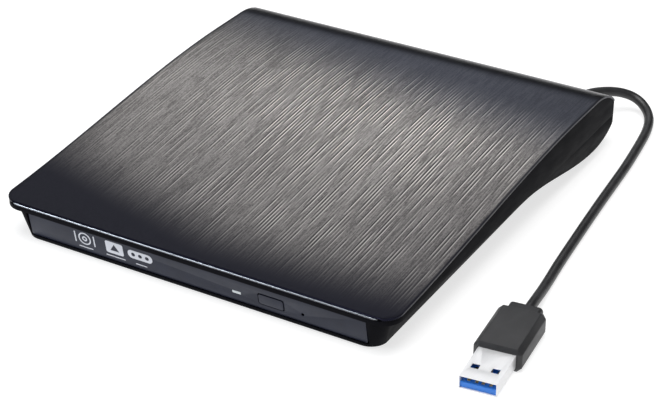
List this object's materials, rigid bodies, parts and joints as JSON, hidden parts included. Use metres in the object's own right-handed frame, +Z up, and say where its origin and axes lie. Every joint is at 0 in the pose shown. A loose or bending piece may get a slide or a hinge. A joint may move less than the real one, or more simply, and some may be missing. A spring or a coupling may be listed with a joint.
{
  "type": "external optical drive",
  "caption": "Slim external disc drive with a wave-shaped brushed top, a sliding disc tray with its spindle and lens mechanism, an eject button and a short USB cable with a plug.",
  "frame": {"origin": "on the surface that the feet rest on, under the middle of the case, cable left out", "axes": "+X to the right seen from the bezel, +Y from the bezel to the back, +Z up"},
  "size_m": [0.1843, 0.1969, 0.0241],
  "materials": {
    "brushed_plate": "dark brushed finish, streaks from front to back",
    "shell_plastic": "fine matte mould texture",
    "bezel_plastic": "smooth satin, slightly blue grey",
    "tray_plastic": "satin black",
    "foot_rubber": "matte",
    "cable_rubber": "soft satin",
    "plug_plastic": "fine matte",
    "plug_steel": "bright nickel",
    "insulator_plastic": "blue",
    "contact_brass": "gold plated",
    "screw_steel": "zinc plated",
    "stamped_steel": "plain stamped sheet",
    "rail_steel": "stamped, lightly oiled",
    "core_steel": "dark laminations",
    "rod_chrome": "ground and polished",
    "cast_alloy": "die cast",
    "circuit_board": "green solder mask",
    "chip_epoxy": "moulded epoxy",
    "tinned_metal": "tinned cans and terminals",
    "connector_plastic": "glass filled nylon",
    "ivory_plastic": "natural acetal",
    "wire_plastic": "insulated leads",
    "ribbon_film": "amber polyimide film",
    "coil_copper": "enamelled copper",
    "light_pipe": "clear diffusing",
    "white_ink": "pale grey ink",
    "lens_glass": "coated"
  },
  "bodies": {
    "case": {"bottom_case": "shell_plastic", "top_cover": "shell_plastic", "top_panel": "brushed_plate", "rubber_feet": "foot_rubber", "case_screws": "screw_steel", "drive_chassis": "stamped_steel", "drive_lid": "stamped_steel", "lid_screws": "screw_steel", "chassis_rails": "stamped_steel", "drive_connector": "connector_plastic", "bridge_board": "circuit_board", "bridge_chip": "chip_epoxy", "bridge_parts": "tinned_metal", "sata_socket": "connector_plastic", "board_screws": "screw_steel", "cable_leads": "wire_plastic", "flex_ribbon": "ribbon_film", "cable_strain_relief": "cable_rubber", "usb_cable": "cable_rubber", "plug_overmold": "plug_plastic", "plug_shell": "plug_steel", "plug_tongue": "insulator_plastic", "plug_contacts": "contact_brass"},
    "rail_left": {"slide_rail_left": "rail_steel"},
    "rail_right": {"slide_rail_right": "rail_steel"},
    "tray_unit": {"tray": "tray_plastic", "front_bezel": "bezel_plastic", "led_window": "light_pipe", "printed_marks": "white_ink", "tray_bottom_cover": "stamped_steel", "traverse_frame": "rail_steel", "traverse_cover": "tray_plastic", "guide_rods": "rod_chrome", "sled_motor": "rail_steel", "spindle_stator": "core_steel", "stator_coils": "coil_copper", "main_board": "circuit_board", "main_chips": "chip_epoxy", "ribbon_socket": "ivory_plastic", "eject_switch": "connector_plastic", "led_lamp": "light_pipe", "latch_solenoid": "coil_copper", "rubber_dampers": "foot_rubber", "mechanism_screws": "screw_steel"},
    "spindle": {"spindle_shaft": "rod_chrome", "rotor_can": "rail_steel", "turntable": "tray_plastic", "turntable_ring": "foot_rubber", "hub_balls": "rod_chrome"},
    "sled": {"pickup_body": "cast_alloy", "actuator_yoke": "core_steel", "sled_rack": "ivory_plastic"},
    "lens": {"lens_holder": "connector_plastic", "objective_lens": "lens_glass"},
    "lead_screw": {"lead_screw": "rod_chrome"},
    "button": {"eject_button": "bezel_plastic"},
    "latch": {"eject_latch": "rail_steel"}
  },
  "joints": [
    {"name": "tray_slide", "type": "slide", "parent": "case", "child": "tray_unit", "axis": [0, -1, 0], "range_m": [0, 0.128], "deforming": ["flex_ribbon"]},
    {"name": "rail_left_slide", "type": "slide", "parent": "case", "child": "rail_left", "axis": [0, -1, 0], "range_m": [0, 0.064]},
    {"name": "rail_right_slide", "type": "slide", "parent": "case", "child": "rail_right", "axis": [0, -1, 0], "range_m": [0, 0.064]},
    {"name": "eject_press", "type": "slide", "parent": "tray_unit", "child": "button", "axis": [0, 1, 0], "range_m": [0, 0.0008], "stiffness_N_per_m": 300},
    {"name": "latch_swing", "type": "hinge", "parent": "tray_unit", "child": "latch", "pos_m": [-0.04, -0.054, 0.0056], "axis": [0, 0, 1], "range_deg": [0, 8], "stiffness_Nm_per_rad": 0.002},
    {"name": "spindle_spin", "type": "hinge", "parent": "tray_unit", "child": "spindle", "pos_m": [0, -0.014, 0.006], "axis": [0, 0, 1], "continuous": true},
    {"name": "sled_slide", "type": "slide", "parent": "tray_unit", "child": "sled", "axis": [-0.7071, 0.7071, 0], "range_m": [0, 0.032]},
    {"name": "screw_spin", "type": "hinge", "parent": "tray_unit", "child": "lead_screw", "pos_m": [-0.01188, -0.02588, 0.0056], "axis": [-0.7071, 0.7071, 0], "range_deg": [0, 3840]},
    {"name": "lens_focus", "type": "slide", "parent": "sled", "child": "lens", "axis": [0, 0, 1], "range_m": [-0.0003, 0.0003], "stiffness_N_per_m": 60}
  ],
  "couplings": [
    {"joint": "rail_left_slide", "follows": "tray_slide", "ratio": 0.5},
    {"joint": "rail_right_slide", "follows": "tray_slide", "ratio": 0.5},
    {"joint": "screw_spin", "follows": "sled_slide", "rad_per_m": 2094.4}
  ]
}
